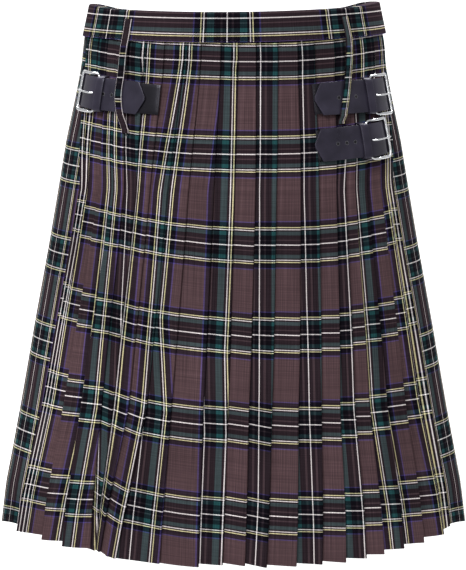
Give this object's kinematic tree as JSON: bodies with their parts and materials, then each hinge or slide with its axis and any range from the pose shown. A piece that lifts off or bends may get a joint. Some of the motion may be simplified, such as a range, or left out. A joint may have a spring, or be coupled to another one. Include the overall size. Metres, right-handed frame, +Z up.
{
  "type": "tartan kilt",
  "caption": "Knee-length tartan kilt, open and hollow as worn: knife-pleated back, flat wrapped front, waistband, belt loops and buckled leather side straps.",
  "frame": {"origin": "the middle of the waist opening, level with the top of the waistband at the back, where the garment is held", "axes": "+Z up along the body, the wearer faces +Y so the pleated back faces -Y, +X towards the wearer's right"},
  "size_m": [0.4966, 0.3428, 0.5571],
  "materials": {
    "tartan_cloth": "matt woven tartan, brown ground with dark, green, blue, white and pale yellow lines",
    "black_leather": "smooth semi-gloss black leather",
    "bright_steel": "bright polished steel"
  },
  "bodies": {
    "root": {"pleated_back": "tartan_cloth", "over_apron": "tartan_cloth", "under_apron": "tartan_cloth", "waistband": "tartan_cloth", "belt_loop_left": "tartan_cloth", "belt_loop_right": "tartan_cloth", "strap_left": "black_leather", "chape_left": "black_leather", "keeper_left": "black_leather", "buckle_left": "bright_steel", "prong_left": "bright_steel", "strap_right_upper": "black_leather", "chape_right_upper": "black_leather", "keeper_right_upper": "black_leather", "buckle_right_upper": "bright_steel", "prong_right_upper": "bright_steel", "strap_right_lower": "black_leather", "chape_right_lower": "black_leather", "keeper_right_lower": "black_leather", "buckle_right_lower": "bright_steel", "prong_right_lower": "bright_steel"}
  },
  "joints": []
}
